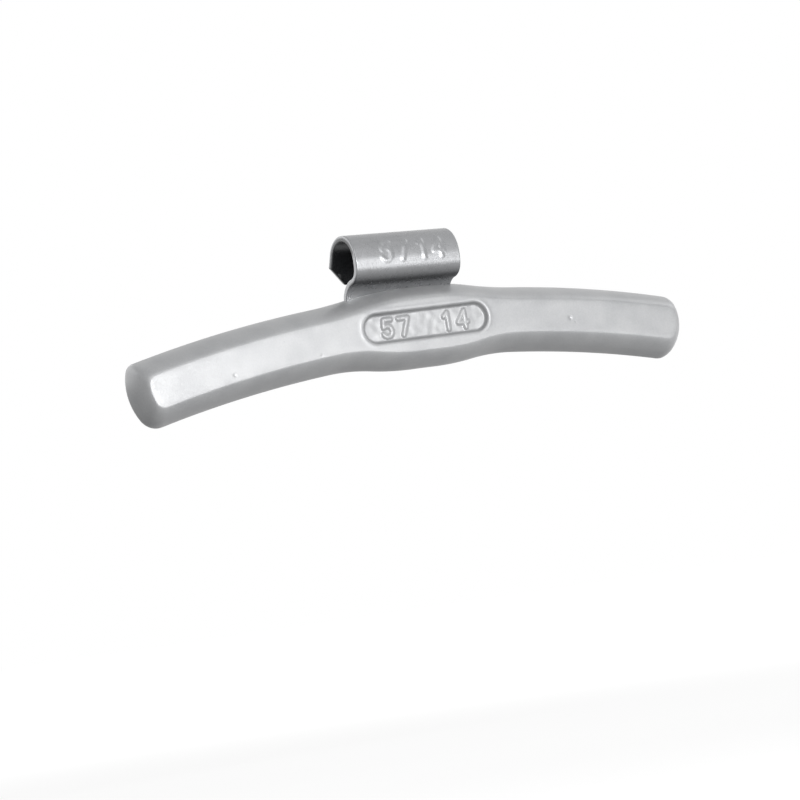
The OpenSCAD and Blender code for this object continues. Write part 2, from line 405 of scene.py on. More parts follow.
@dataclass(frozen=True)
class SilverPowderCoat:
    """Polyester powder coat with aluminium flake, sprayed on steel and baked.

    The flake gives a neutral silver with a broad, soft highlight; the flow of the powder leaves a
    faint orange peel, slow waves over the formed steel beneath, and here and there a speck.
    """

    name: str
    light: str
    dark: str
    # Painted shade: the jaw, the crease under the curl, the recess walls and the lower flank darken toward
    # this tone.
    painted_shade_tone: str = "#2A2B2D"
    speck: str = "#5C5D60"
    metallic: float = 0.15
    ior: float = 1.5
    roughness: float = 0.34
    roughness_spread: float = 0.05
    # Cloudiness where the powder lies thicker or thinner.
    mottle_mm: float = 5.0
    mottle_share: float = 0.55
    # Flake is about 0.03 mm, too fine for the render, so its grain is drawn at ten times that or more.
    grain_mm: float = 0.35
    grain_share: float = 0.3
    blend_from: float = 0.3
    blend_to: float = 0.62
    gloss_range: tuple[float, float] = (0.3, 0.7)
    # Waves left by the forming of the steel.
    wave_mm: float = 7.0
    wave_height_mm: float = 0.02
    # Orange peel, about as wide as the real one.
    peel_mm: float = 0.7
    peel_height_mm: float = 0.003
    # Specks are some 0.1 mm across, one in about fifteen cells, drawn a little larger to show.
    speck_mm: float = 1.7
    speck_edge: tuple[float, float] = (0.05, 0.1)
    speck_rarity: float = 0.93
    speck_share: float = 0.3
    # Marks of the press, drawn out along X, and coarser than the real ones, which don't show.
    streak_mm: float = 1.1
    streak_stretch: float = 0.08
    streak_height_mm: float = 0.003
    streak_share: float = 0.0

    def material(self) -> bpy.types.Material:
        """Builds the material.

        Returns:
            A node-based material, its patterns laid out in object space.
        """
        made = bpy.data.materials.new(self.name)
        tree = empty_tree(made)
        place = add_node(tree, "ShaderNodeTexCoord").outputs["Object"]
        stretch = {"Scale": (self.streak_stretch, 1.0, 1.0)}
        drawn = add_node(tree, "ShaderNodeMapping", stretch, {"Vector": place}).outputs[0]
        mottle, grain, streak, wave, peel = (
            add_node(
                tree, "ShaderNodeTexNoise", {"Scale": 1 / (size * MM), "Detail": detail}, {"Vector": at}
            ).outputs[0]
            for at, size, detail in (
                (place, self.mottle_mm, 3.0),
                (place, self.grain_mm, 2.0),
                (drawn, self.streak_mm, 1.0),
                (place, self.wave_mm, 1.0),
                (place, self.peel_mm, 1.0),
            )
        )
        blend = add_node(
            tree, "ShaderNodeMath", {"operation": "MULTIPLY", 1: self.mottle_share}, {0: mottle}
        ).outputs[0]
        for pattern, share in ((grain, self.grain_share), (streak, self.streak_share)):
            blend = add_node(
                tree, "ShaderNodeMath", {"operation": "MULTIPLY_ADD", 1: share}, {0: pattern, 2: blend}
            ).outputs[0]
        blended = add_node(tree, "ShaderNodeValToRGB", links={"Fac": blend})
        stops = ((self.blend_from, self.dark), (self.blend_to, self.light))
        for element, (at, code) in zip(blended.color_ramp.elements, stops):
            element.position = at
            element.color = linear(code)
        colour = blended.outputs["Color"]
        if self.speck_share:
            colour = self.specks(tree, place, colour)
        # Painted shade: the mesh's shade attribute mixes the colour toward the dark tone.
        painted_shade_share = add_node(tree, "ShaderNodeAttribute", {"attribute_name": PAINTED_SHADE}).outputs["Fac"]
        colour = add_node(
            tree, "ShaderNodeMix", {"data_type": "RGBA", 7: linear(self.painted_shade_tone)}, {0: painted_shade_share, 6: colour}
        ).outputs[2]
        gloss = add_node(
            tree,
            "ShaderNodeMapRange",
            {
                "From Min": self.gloss_range[0],
                "From Max": self.gloss_range[1],
                "To Min": self.roughness - self.roughness_spread,
                "To Max": self.roughness + self.roughness_spread,
            },
            {"Value": grain},
        ).outputs[0]
        reliefs = [(wave, self.wave_height_mm), (peel, self.peel_height_mm)]
        if self.streak_share:
            reliefs.append((streak, self.streak_height_mm))
        bump: dict[str | int, Socket] = {}
        for pattern, height in reliefs:
            step = add_node(
                tree,
                "ShaderNodeBump",
                {"Strength": 1.0, "Distance": height * MM},
                {"Height": pattern, **bump},
            )
            bump = {"Normal": step.outputs[0]}
        shader = add_node(
            tree,
            "ShaderNodeBsdfPrincipled",
            {"Metallic": self.metallic, "IOR": self.ior},
            {"Base Color": colour, "Roughness": gloss, **bump},
        )
        add_node(tree, "ShaderNodeOutputMaterial", links={"Surface": shader.outputs[0]})
        return made

    def specks(self, tree: Tree, place: Socket, colour: Socket) -> Socket:
        """Darkens small scattered specks.

        Args:
            tree: The material's node tree.
            place: Where the shaded point lies.
            colour: The coat's colour without specks.

        Returns:
            The colour with specks.
        """
        cells = add_node(
            tree, "ShaderNodeTexVoronoi", {"Scale": 1 / (self.speck_mm * MM)}, {"Vector": place}
        )
        full, gone = self.speck_edge
        spot = add_node(
            tree,
            "ShaderNodeMapRange",
            {"From Min": full, "From Max": gone, "To Min": 1.0, "To Max": 0.0},
            {"Value": cells.outputs["Distance"]},
        ).outputs[0]
        chosen = add_node(
            tree, "ShaderNodeSeparateColor", links={"Color": cells.outputs["Color"]}
        ).outputs[0]
        rare = add_node(
            tree, "ShaderNodeMath", {"operation": "GREATER_THAN", 1: self.speck_rarity}, {0: chosen}
        ).outputs[0]
        share = add_node(tree, "ShaderNodeMath", {"operation": "MULTIPLY"}, {0: spot, 1: rare}).outputs[0]
        soft = add_node(
            tree, "ShaderNodeMath", {"operation": "MULTIPLY", 1: self.speck_share}, {0: share}
        ).outputs[0]
        return add_node(
            tree, "ShaderNodeMix", {"data_type": "RGBA", 7: linear(self.speck)}, {0: soft, 6: colour}
        ).outputs[2]


# The bar


@dataclass
class WeightBar:
    """Curved bar with sloping sides, bowed ends, a swell under the clip and a recess with raised numbers.

    Sizes are in millimetres and angles in degrees. An inset goes inward from the back's outline, and a
    depth goes from the back face to the front face.
    """

    bar_r: float = 250.0
    near_len: float = 59.4
    far_len: float = 58.8
    bar_w: float = 12.25
    bar_t: float = 5.6
    side_in: float = 2.6
    near_end_in: float = 1.8
    far_end_in: float = 2.6
    face_reach: float = 0.67
    face_pull: float = 1.1
    flank_pull: float = 2.5
    flank_lean: float = 10.0
    back_round: float = 0.4
    near_end_r: float = 10.8
    far_end_r: float = 8.2
    outer_corner_r: float = 2.0
    inner_corner_r: float = 3.8
    face_corner_r: float = 1.9
    swell_up: float = 1.5
    swell_down: float = 1.6
    swell_face: float = 0.3
    swell_off: float = 0.9
    swell_flat: float = 2.4
    run_up: float = 19.0
    run_down: float = 17.6
    recess_len: float = 26.8
    recess_w: float = 5.8
    recess_t: float = 0.7
    recess_shift: float = 0.33
    wall_out: float = 0.12
    wall_in: float = 0.78
    # Painted shade on the recess walls, standing in for their shadow.
    recess_wall_painted_shade: float = 0.3
    lip_proud: float = 0.035
    lip_out: float = 0.4
    lip_w: float = 0.3
    floor_wave: float = 0.035
    floor_wave_mm: float = 1.3
    floor_wave_seed: float = 4.0
    # Painted shade on the lower flank, darker toward the back edge.
    lower_flank_painted_shade: float = 0.25
    stud_root: float = 0.02
    # Rounded rim of a stud's head: how far inside its edge and how far below the back.
    head_rim: tuple[tuple[float, float], ...] = ((0.12, 0.1), (0.06, 0.03), (0.16, 0.0))
    dimple_r: float = 0.9
    dimple_t: float = 0.35
    dimple_lip: float = 0.12
    dimple_edge: float = 0.04
    # Bowl of the punch's dimple, as shares of its radius and depth.
    dimple_bowl: tuple[tuple[float, float], ...] = ((0.5, 0.75), (0.15, 1.0))
    corner_clear: float = 1.0
    arm_steps: int = 26
    swell_steps: int = 84
    corner_steps: int = 12
    bow_steps: int = 14
    round_steps: int = 6
    flank_steps: int = 18
    fine_pitch: float = 0.15
    middle_pitch: float = 0.55
    coarse_pitch: float = 1.5
    fine_margin: tuple[float, float] = (1.4, 1.0)
    fine_out: float = 0.9
    middle_out: tuple[float, float] = (1.1, 2.2)
    middle_margin: float = 1.5
    coarse_out: float = 2.5
    rim_clear: float = 0.3
    pit_reach: float = 1.2
    pit_clear: float = 1.6
    pit_steps: int = 4
    numbers: tuple[RaisedNumber, ...] = (
        RaisedNumber("57", -6.0, -0.1, 3.1, 3.5, 0.42, 0.32, 0.28),
        RaisedNumber("14", 6.7, -0.1, 3.1, 3.3, 0.42, 0.32, 0.28),
    )
    # Small pits in the front face: place in X and Z, radius and depth.
    pits: tuple[tuple[float, float, float, float], ...] = (
        (31.4, -2.4, 0.6, 0.1),
        (32.5, -3.3, 0.3, 0.04),
        (-40.3, -5.0, 0.55, 0.04),
        (-19.4, -3.9, 0.3, 0.05),
        (-22.4, -3.4, 0.35, 0.04),
    )

    def swell(self, s: Points, run: float) -> Points:
        """Works out the share of the swell along the bar: two arcs that meet halfway down its run.

        Args:
            s: Arc lengths along the bar.
            run: Length over which the swell runs out.

        Returns:
            The share at each place, from 0 to 1.
        """
        x = (np.abs(s - self.swell_off) - self.swell_flat) / run
        rising = np.where(x < 0.5, 1 - 2 * x**2, 2 * (1 - x) ** 2)
        return np.where(x <= 0, 1.0, np.where(x >= 1, 0.0, rising))

    def point(self, s: Points, w: Points, depth: float | Points) -> Points:
        """Bends places on the bar into its frame.

        Args:
            s: Arc lengths along the bar.
            w: Offsets outward from its middle line.
            depth: Depth in from the back face.

        Returns:
            The points.
        """
        a = s / self.bar_r
        r = self.bar_r + w
        y = -np.broadcast_to(depth, np.shape(a))
        return np.stack([r * np.sin(a), y, r * np.cos(a) - self.bar_r], axis=-1)

    def side_stations(self, near: float, far: float) -> Points:
        """Lays stations on one long side, close together in the swell.

        Args:
            near: Arc length from the middle to the near corner.
            far: Arc length from the middle to the far corner.

        Returns:
            Arc lengths from the near corner to the far one.
        """
        reach = self.swell_flat + max(self.run_up, self.run_down)
        start = max(self.swell_off - reach, self.corner_clear - near)
        stop = min(self.swell_off + reach, far - self.corner_clear)
        arm, swell = self.arm_steps, self.swell_steps
        return stations((-near, 0), (start, arm), (stop, swell), (far, arm))

    @staticmethod
    def corner_back(w: float, end_r: float, r: float) -> float:
        """Distance from the end's furthest point back to the centre of a corner of radius r."""
        return end_r - math.sqrt((end_r - r) ** 2 - (w - r) ** 2)

    def end_points(self, s: float, w: float, end_r: float, p: float, q: float) -> list[tuple[float, float]]:
        """Lays the points of a bowed end, from the long side at +w to the one at -w.

        Args:
            s: Arc length of the end's furthest point.
            w: Half the width.
            end_r: Radius of the bow.
            p: Radius of the first corner.
            q: Radius of the second corner.

        Returns:
            Arc lengths and offsets.
        """
        lean_p = math.asin((w - p) / (end_r - p))
        lean_q = math.asin((w - q) / (end_r - q))
        p_s = s - self.corner_back(w, end_r, p)
        q_s = s - self.corner_back(w, end_r, q)
        right = math.pi / 2
        made = []
        for i in range(1, self.corner_steps + 1):
            a = right + (lean_p - right) * i / self.corner_steps
            made.append((p_s + p * math.cos(a), w - p + p * math.sin(a)))
        for i in range(1, self.bow_steps + 1):
            a = lean_p - (lean_p + lean_q) * i / self.bow_steps
            made.append((s - end_r + end_r * math.cos(a), end_r * math.sin(a)))
        for i in range(1, self.corner_steps):
            a = -lean_q + (lean_q - right) * i / self.corner_steps
            made.append((q_s + q * math.cos(a), q - w + q * math.sin(a)))
        return made

    def outline(self, inset: float, depth: float) -> Points:
        """Lays the bar's closed outline at one depth.

        Args:
            inset: How far it lies inside the back's outline.
            depth: How far it lies in front of the back face.

        Returns:
            Arc lengths and offsets.
        """
        f = depth / self.bar_t
        w = self.bar_w / 2 - inset
        near_s = self.near_len - inset * self.near_end_in / self.side_in
        far_s = self.far_len - inset * self.far_end_in / self.side_in
        near_r, far_r = self.near_end_r - inset, self.far_end_r - inset
        outer = self.outer_corner_r + (self.face_corner_r - self.outer_corner_r) * f
        inner = self.inner_corner_r + (self.face_corner_r - self.inner_corner_r) * f
        down = self.swell_down + self.swell_face * f
        top = self.side_stations(
            near_s - self.corner_back(w, near_r, outer), far_s - self.corner_back(w, far_r, outer)
        )
        low = self.side_stations(
            near_s - self.corner_back(w, near_r, inner), far_s - self.corner_back(w, far_r, inner)
        )[::-1]
        upper = np.stack([top, w + self.swell_up * self.swell(top, self.run_up)], axis=1)
        lower = np.stack([low, -w - down * self.swell(low, self.run_down)], axis=1)
        far_end = np.array(self.end_points(far_s, w, far_r, outer, inner))
        near_end = -np.array(self.end_points(near_s, w, near_r, inner, outer))
        return np.concatenate([upper, far_end, lower, near_end])

    def levels(self) -> list[tuple[float, float]]:
        """Lays the section of the flank: a round back edge, then one even curve up to the front face.

        Returns:
            Inset and depth of each ring, from the back face to the front face.
        """
        lean = math.radians(self.flank_lean)
        turns = [(math.pi / 2 + lean) * i / self.round_steps for i in range(self.round_steps + 1)]
        made = [(self.back_round * (1 - math.sin(a)), self.back_round * (1 - math.cos(a))) for a in turns]
        face_in = self.side_in + self.face_reach
        foot_in, foot_y = made[-1]
        pulled = (foot_in + self.flank_pull * math.sin(lean), foot_y + self.flank_pull * math.cos(lean))
        face_edge = (face_in, self.bar_t)
        stops = np.array((made[-1], pulled, (face_in - self.face_pull, self.bar_t), face_edge))
        for i in range(1, self.flank_steps + 1):
            t = i / self.flank_steps
            weights = np.array(((1 - t) ** 3, 3 * t * (1 - t) ** 2, 3 * t**2 * (1 - t), t**3))
            made.append(tuple(weights @ stops))
        return made

    def recess_inset(self, flat: Points) -> Points:
        """Finds how far points of the front face lie inside the recess's outline.

        Args:
            flat: Places in X and Z of the bar's frame.

        Returns:
            The distances, outside the recess negative.
        """
        half = (self.recess_len - self.recess_w) / 2
        off = flat - np.array((self.recess_shift, 0.0))
        off[:, 0] -= np.clip(off[:, 0], -half, half)
        return self.recess_w / 2 - np.linalg.norm(off, axis=1)

    def sink(self, flat: Points) -> Points:
        """Finds how far the front face lies below its plane.

        Args:
            flat: Places in X and Z of the bar's frame.

        Returns:
            The depth at each place, from the recess, its lip and floor, the numbers and the pits.
        """
        inset = self.recess_inset(flat)
        share = smooth((inset + self.wall_out) / (self.wall_out + self.wall_in))
        depth = self.recess_t * share
        depth -= self.lip_proud * np.exp(-(((inset + self.lip_out) / self.lip_w) ** 2))
        size = self.floor_wave_mm
        waves = [noise.noise(Vector((x / size, z / size, self.floor_wave_seed))) for x, z in flat]
        depth += self.floor_wave * np.array(waves) * share
        for number in self.numbers:
            depth -= number.relief(flat) * share
        for x, z, r, t in self.pits:
            away = np.linalg.norm(flat - np.array((x, z)), axis=1) / r
            depth += t * (1 - smooth(away))
        return depth

    def painted_shade(self, flat: Points) -> Points:
        """Painted shade on the walls of the recess, at points of the front face."""
        share = smooth((self.recess_inset(flat) + self.wall_out) / (self.wall_out + self.wall_in))
        return self.recess_wall_painted_shade * 4 * share * (1 - share)

    def front_points(self, rim: Points) -> Points:
        """Lays the free points of the front face: fine in the recess and round the pits, coarse elsewhere.

        Args:
            rim: The face's closed outline, in X and Z of the bar's frame.

        Returns:
            Points inside the outline, clear of it.
        """
        margin_x, margin_z = self.fine_margin
        half = np.array((self.recess_len / 2 + margin_x, self.recess_w / 2 + margin_z))
        fine = grid(-half, half, self.fine_pitch)
        fine = fine[self.recess_inset(fine) > -self.fine_out]
        middle = grid(-half - self.middle_margin, half + self.middle_margin, self.middle_pitch)
        gap = self.recess_inset(middle)
        middle = middle[(gap < -self.middle_out[0]) & (gap > -self.middle_out[1])]
        coarse = grid(rim.min(axis=0), rim.max(axis=0), self.coarse_pitch)
        coarse = coarse[self.recess_inset(coarse) < -self.coarse_out]
        around = []
        for x, z, r, _ in self.pits:
            reach = self.pit_reach * r
            spot = grid((x - reach, z - reach), (x + reach, z + reach), r / self.pit_steps)
            around.append(spot[np.linalg.norm(spot - np.array((x, z)), axis=1) < reach])
            coarse = coarse[np.linalg.norm(coarse - np.array((x, z)), axis=1) > self.pit_clear * r]
        free = np.concatenate([fine, middle, coarse, *around])
        return clear_of(free[inside(free, rim)], rim, self.rim_clear)

    def blank(self) -> bpy.types.Mesh:
        """Builds the bar before the clip's seat is cut.

        Returns:
            The closed mesh in the bar's own frame.
        """
        draft = Draft()
        rings = []
        for inset, depth in self.levels():
            outline = self.outline(inset, depth)
            # Painted shade: the lower flank darkens toward the back edge.
            low = smooth(-outline[:, 1] / self.bar_w * 2) * smooth(1 - depth / self.bar_t)
            ring = self.point(outline[:, 0], outline[:, 1], depth)
            rings.append((draft.add(ring, self.lower_flank_painted_shade * low), len(outline)))
        for (a, n), (b, _) in zip(rings, rings[1:]):
            draft.band(a, b, n)
        n = rings[0][1]
        draft.faces.append(tuple(range(rings[0][0], rings[0][0] + n)))
        rim = draft.points[-1][:, [0, 2]]
        flat, triangles = triangulate([rim], self.front_points(rim))
        free = flat[n:]
        front = np.stack([free[:, 0], self.sink(free) - self.bar_t, free[:, 1]], axis=1)
        start = draft.add(front, self.painted_shade(free))
        last = rings[-1][0]
        for t in triangles:
            draft.faces.append(tuple(last + i if i < n else start + i - n for i in t))
        return draft.mesh("bar_blank")


# The clip


@dataclass
class SpringClip:
    """Spring steel strip, bent from its tail in the bar round the fold and the curl to the free lip.

    Sizes are in millimetres and angles in degrees. Places on the flat strip are given by x across it,
    t along its middle line from the tail's foot, and h off that line toward the front of the tail.
    """

    strip_t: float = 1.1
    strip_w: float = 22.1
    clip_off: float = 2.2
    clip_tilt: float = 1.5
    jaw_r: float = 3.8
    jaw_up: float = 12.75
    jaw_fore: float = 1.7
    front_drop: float = 1.6
    front_ease: float = 12.0
    fold_r: float = 1.85
    neck_r: float = 3.2
    lip_tilt: float = 25.0
    lip_len: float = 5.6
    lip_cut: float = 3.2
    tail_down: float = 3.1
    tail_corner_r: float = 1.6
    stud_pitch: float = 12.4
    stud_up: float = 1.2
    stud_r: float = 1.5
    head_r: float = 2.3
    head_t: float = 0.7
    seat_gap: float = 0.05
    edge_r: float = 0.2
    rim_flat: float = 0.08
    # Painted shade in the crease under the curl and inside the jaw, standing in for their shadow.
    crease_painted_shade: float = 0.85
    crease_w: float = 1.6
    crease_up: float = 0.7
    jaw_painted_shade: float = 0.9
    jaw_painted_shade_before: float = 1.0
    jaw_painted_shade_run: float = 1.5
    bend_step: float = 0.22
    across_step: float = 0.7
    corner_steps: int = 10
    cut_steps: int = 14
    edge_steps: int = 5
    hole_steps: int = 48
    seat_corner_steps: int = 10
    seat_side_steps: int = 5
    seat_neck_steps: int = 24
    seat_neck_turn: float = 85.0
    front_columns: int = 110
    back_columns: int = 34
    clear: float = 0.12
    numbers: tuple[RaisedNumber, ...] = (
        RaisedNumber("57", -2.6, 0.0, 3.4, 3.5, 0.36, 0.26, 0.07),
        RaisedNumber("14", 5.0, 0.0, 3.4, 3.3, 0.36, 0.26, 0.07),
    )

    @property
    def tail_z(self) -> float:
        """Height of the tail's foot."""
        return -self.jaw_up - self.tail_down

    @property
    def neck(self) -> tuple[float, float, float]:
        """Works out the neck's bend.

        Returns:
            Its centre in Y and Z, and its angle in radians.
        """
        fold_y = self.fold_r - self.jaw_r
        neck_y = self.jaw_fore - self.strip_t - self.neck_r
        reach = self.fold_r + self.neck_r + self.strip_t
        neck_z = -self.front_drop - math.sqrt(reach**2 - (fold_y - neck_y) ** 2)
        return neck_y, neck_z, math.atan2(-self.front_drop - neck_z, fold_y - neck_y)

    def runs(self) -> list[tuple[float, float]]:
        """Works out the stretches of the strip's middle line, from foot to lip.

        Returns:
            Length of each stretch and its turn in radians, turns to the front positive.
        """
        half, ease = self.strip_t / 2, math.radians(self.front_ease)
        _, neck_z, neck_a = self.neck
        fold_r, curl_r = self.fold_r + half, self.jaw_r + half
        curl = math.pi - math.radians(self.lip_tilt)
        return [
            (neck_z - self.tail_z, 0.0),
            ((self.neck_r + half) * neck_a, neck_a),
            (fold_r * (neck_a - ease), ease - neck_a),
            (self.front_drop + (fold_r + curl_r) * ease, -2 * ease),
            (curl_r * (curl - ease), ease - curl),
            (self.lip_len, 0.0),
        ]

    @property
    def length(self) -> float:
        """Length of the strip's middle line."""
        return sum(run for run, _ in self.runs())

    @property
    def curl_start(self) -> float:
        """Place along the middle line at which the curl starts."""
        return sum(run for run, _ in self.runs()[:4])

    @property
    def crease(self) -> float:
        """Place along the middle line of the crease between the neck and the curl."""
        return sum(run for run, _ in self.runs()[:2])

    def painted_shade(self, t: Points, h: float) -> Points:
        """Finds how much painted shade darkens points of the strip, in the crease and the jaw.

        Args:
            t: Places along the strip.
            h: Which side they are on: painted shade of the crease goes on the front, of the jaw on the
                back.

        Returns:
            The painted shade at each place, from 0 to 1.
        """
        if h > 0:
            away = (t - self.crease - self.crease_up) / self.crease_w
            return self.crease_painted_shade * np.exp(-(away**2))
        inward = t - self.curl_start + self.jaw_painted_shade_before
        return self.jaw_painted_shade * smooth(inward / self.jaw_painted_shade_run)

    def bent(self, x: Points, t: Points, h: Points) -> Points:
        """Bends the flat strip.

        Args:
            x: Places across the strip.
            t: Places along its middle line, from the tail's foot.
            h: Offsets from the middle line, toward the front of the tail.

        Returns:
            Points in the part's frame.
        """
        y, z, heading = self.jaw_fore - self.strip_t / 2, self.tail_z, math.pi / 2
        out_y, out_z = np.zeros_like(t), np.zeros_like(t)
        left, stretches = t.copy(), self.runs()
        done = np.zeros(len(t), bool)
        for number, (run, turn) in enumerate(stretches):
            here = ~done & ((left <= run) | (number == len(stretches) - 1))
            along = left[here]
            if turn:
                radius = run / turn
                a = heading + along / radius
                centre_y, centre_z = y - radius * math.sin(heading), z + radius * math.cos(heading)
                py, pz = centre_y + radius * np.sin(a), centre_z - radius * np.cos(a)
            else:
                a = np.full(len(along), heading)
                py, pz = y + along * math.cos(heading), z + along * math.sin(heading)
            out_y[here] = py - h[here] * np.sin(a)
            out_z[here] = pz + h[here] * np.cos(a)
            done |= here
            left = left - run
            if turn:
                radius = run / turn
                y += radius * (math.sin(heading + turn) - math.sin(heading))
                z -= radius * (math.cos(heading + turn) - math.cos(heading))
                heading += turn
            else:
                y += run * math.cos(heading)
                z += run * math.sin(heading)
        return np.stack([x, out_y, out_z], axis=1)

    def outline(self, inset: float) -> Points:
        """Lays the flat strip's closed outline, with round tail corners and cut lip corners.

        Args:
            inset: How far it lies inside the strip's edge.

        Returns:
            Places in x and t.
        """
        half, length = self.strip_w / 2 - inset, self.length
        r = self.tail_corner_r - inset
        cut = self.lip_cut + inset * (math.sqrt(2) - 1)
        side_end = length - self.lip_cut - inset * (math.sqrt(2) - 1)
        sides = int((side_end - self.tail_corner_r) / self.bend_step)
        rise = stations((self.tail_corner_r, 0), (side_end, sides))
        turns = [math.pi / 2 * i / self.corner_steps for i in range(self.corner_steps + 1)]
        across = int(2 * half / self.across_step)
        foot = np.linspace(r - half, half - r, across)
        lip = np.linspace(self.strip_w / 2 - cut, cut - self.strip_w / 2, across)
        right_corner = [(half - r + r * math.sin(a), inset + r - r * math.cos(a)) for a in turns]
        right_cut = [
            (
                half - (cut - inset) * i / self.cut_steps,
                side_end + (length - inset - side_end) * i / self.cut_steps,
            )
            for i in range(1, self.cut_steps)
        ]
        made = [(x, inset) for x in foot[:-1]] + right_corner[:-1]
        made += [(half, t) for t in rise] + right_cut
        made += [(x, length - inset) for x in lip]
        made += [(-x, t) for x, t in right_cut[::-1]]
        made += [(-half, t) for t in rise[::-1]]
        made += [(-x, t) for x, t in right_corner[::-1]][1:]
        return np.array(made)

    def hole(self, x: float, h: float, widen: float) -> Points:
        """Lays the closed outline of one countersunk hole of the tail.

        Args:
            x: The hole's middle across the strip.
            h: Offset from the middle line.
            widen: How much wider than the hole it is.

        Returns:
            Places in x and t.
        """
        depth = h + self.strip_t / 2
        head = max(0.0, 1 - depth / self.head_t)
        r = self.stud_r + self.seat_gap + (self.head_r - self.stud_r) * head + widen
        middle = -self.jaw_up + self.stud_up - self.tail_z
        return circle(x, middle, r, self.hole_steps)

    def levels(self) -> list[tuple[float, float]]:
        """Lays the section of the strip's edge: round at both faces, with a flat ring inside the round.

        Returns:
            Inset and offset of each ring, from the strip's back face to its front face.
        """
        half, r = self.strip_t / 2, self.edge_r
        turns = [math.pi / 2 * i / self.edge_steps for i in range(self.edge_steps + 1)]
        rising = [(r + self.rim_flat, -half)]
        rising += [(r * (1 - math.sin(a)), r * (1 - math.cos(a)) - half) for a in turns]
        middle = [(0.0, share * (half - r)) for share in (-0.8, 0.0, 0.8)]
        return rising + middle + [(inset, -h) for inset, h in rising[::-1]]

    def mesh(self) -> bpy.types.Mesh:
        """Builds the bent strip.

        Returns:
            The closed mesh in the part's frame.
        """
        draft = Draft()
        holes_x = (-self.stud_pitch / 2, self.stud_pitch / 2)
        rings: list[list[tuple[int, int]]] = []
        flats: list[list[Points]] = []
        for inset, h in self.levels():
            widen = max(0.0, inset - self.edge_r)
            loops = [self.outline(inset), *(self.hole(x, h, widen) for x in holes_x)]
            starts = []
            for loop in loops:
                ring = self.bent(loop[:, 0], loop[:, 1], np.full(len(loop), h))
                starts.append((draft.add(ring, self.painted_shade(loop[:, 1], h)), len(loop)))
            rings.append(starts)
            flats.append(loops)
        for low, high in zip(rings, rings[1:]):
            for (a, n), (b, _) in zip(low, high):
                draft.band(a, b, n)
        for level in (0, -1):
            self.cap(draft, flats[level], rings[level], self.levels()[level][1])
        return draft.mesh("spring_clip_dressed")

    def cap(self, draft: Draft, loops: list[Points], starts: list[tuple[int, int]], h: float) -> None:
        """Closes one face of the strip with fine triangles, with the numbers on its front.

        Args:
            draft: The mesh in the making.
            loops: The face's outline and its holes, in x and t.
            starts: First number and count of each loop's points in the draft.
            h: Offset of the face from the middle line.
        """
        low, high = loops[0].min(axis=0), loops[0].max(axis=0)
        front = h > 0
        xs = np.linspace(low[0], high[0], self.front_columns if front else self.back_columns)[1:-1]
        ts = np.arange(low[1] + self.bend_step, high[1] - self.bend_step / 2, self.bend_step)
        free = np.array([(x, t) for t in ts for x in xs])
        free = clear_of(free[inside(free, loops[0])], loops[0], self.clear)
        for hole in loops[1:]:
            free = clear_of(free[~inside(free, hole)], hole, self.clear)
        flat, triangles = triangulate(loops, free)
        count = sum(n for _, n in starts)
        numbers = [s + i for s, n in starts for i in range(n)]
        extra = flat[count:]
        lift = np.full(len(extra), h)
        if front:
            places = extra - np.array((0.0, self.curl_start))
            lift += sum(number.relief(places) for number in self.numbers)
        start = draft.add(self.bent(extra[:, 0], extra[:, 1], lift), self.painted_shade(extra[:, 1], h))
        for t in triangles:
            draft.faces.append(tuple(numbers[i] if i < count else start + i - count for i in t))

    def seat_cutter(self, over: float = 1.0) -> bpy.types.Mesh:
        """Builds the room that the tail and the neck take out of the bar, a little larger than they are.

        Args:
            over: How far it reaches out of the bar's back.

        Returns:
            The closed mesh in the part's frame.
        """
        neck_y, neck_z, _ = self.neck
        half, foot = self.strip_w / 2 + self.seat_gap, self.tail_z - self.seat_gap
        r = self.tail_corner_r + self.seat_gap
        curve_r = self.neck_r - self.seat_gap
        n, turn = self.seat_corner_steps, math.pi / 2
        heights = [foot + r * (1 - math.cos(turn * i / n)) for i in range(n + 1)]
        heights += list(np.linspace(foot + r, neck_z, self.seat_side_steps + 1)[1:])
        n, turn = self.seat_neck_steps, math.radians(self.seat_neck_turn)
        heights += [neck_z + curve_r * math.sin(turn * i / n) for i in range(1, n + 1)]
        draft = Draft()
        rings = []
        back = self.jaw_fore + over
        for z in heights:
            lift = max(0.0, foot + r - z)
            wide = half - r + math.sqrt(max(0.0, r**2 - lift**2))
            front = neck_y + math.sqrt(max(0.0, curve_r**2 - max(0.0, z - neck_z) ** 2))
            ring = np.array([(-wide, front, z), (wide, front, z), (wide, back, z), (-wide, back, z)])
            rings.append(draft.add(ring))
        for a, b in zip(rings, rings[1:]):
            draft.band(a, b, 4)
        draft.faces.append(tuple(rings[0] + i for i in (0, 1, 2, 3)))
        draft.faces.append(tuple(rings[-1] + i for i in (3, 2, 1, 0)))
        return draft.mesh("seat_cutter")


# The assembly and its stage


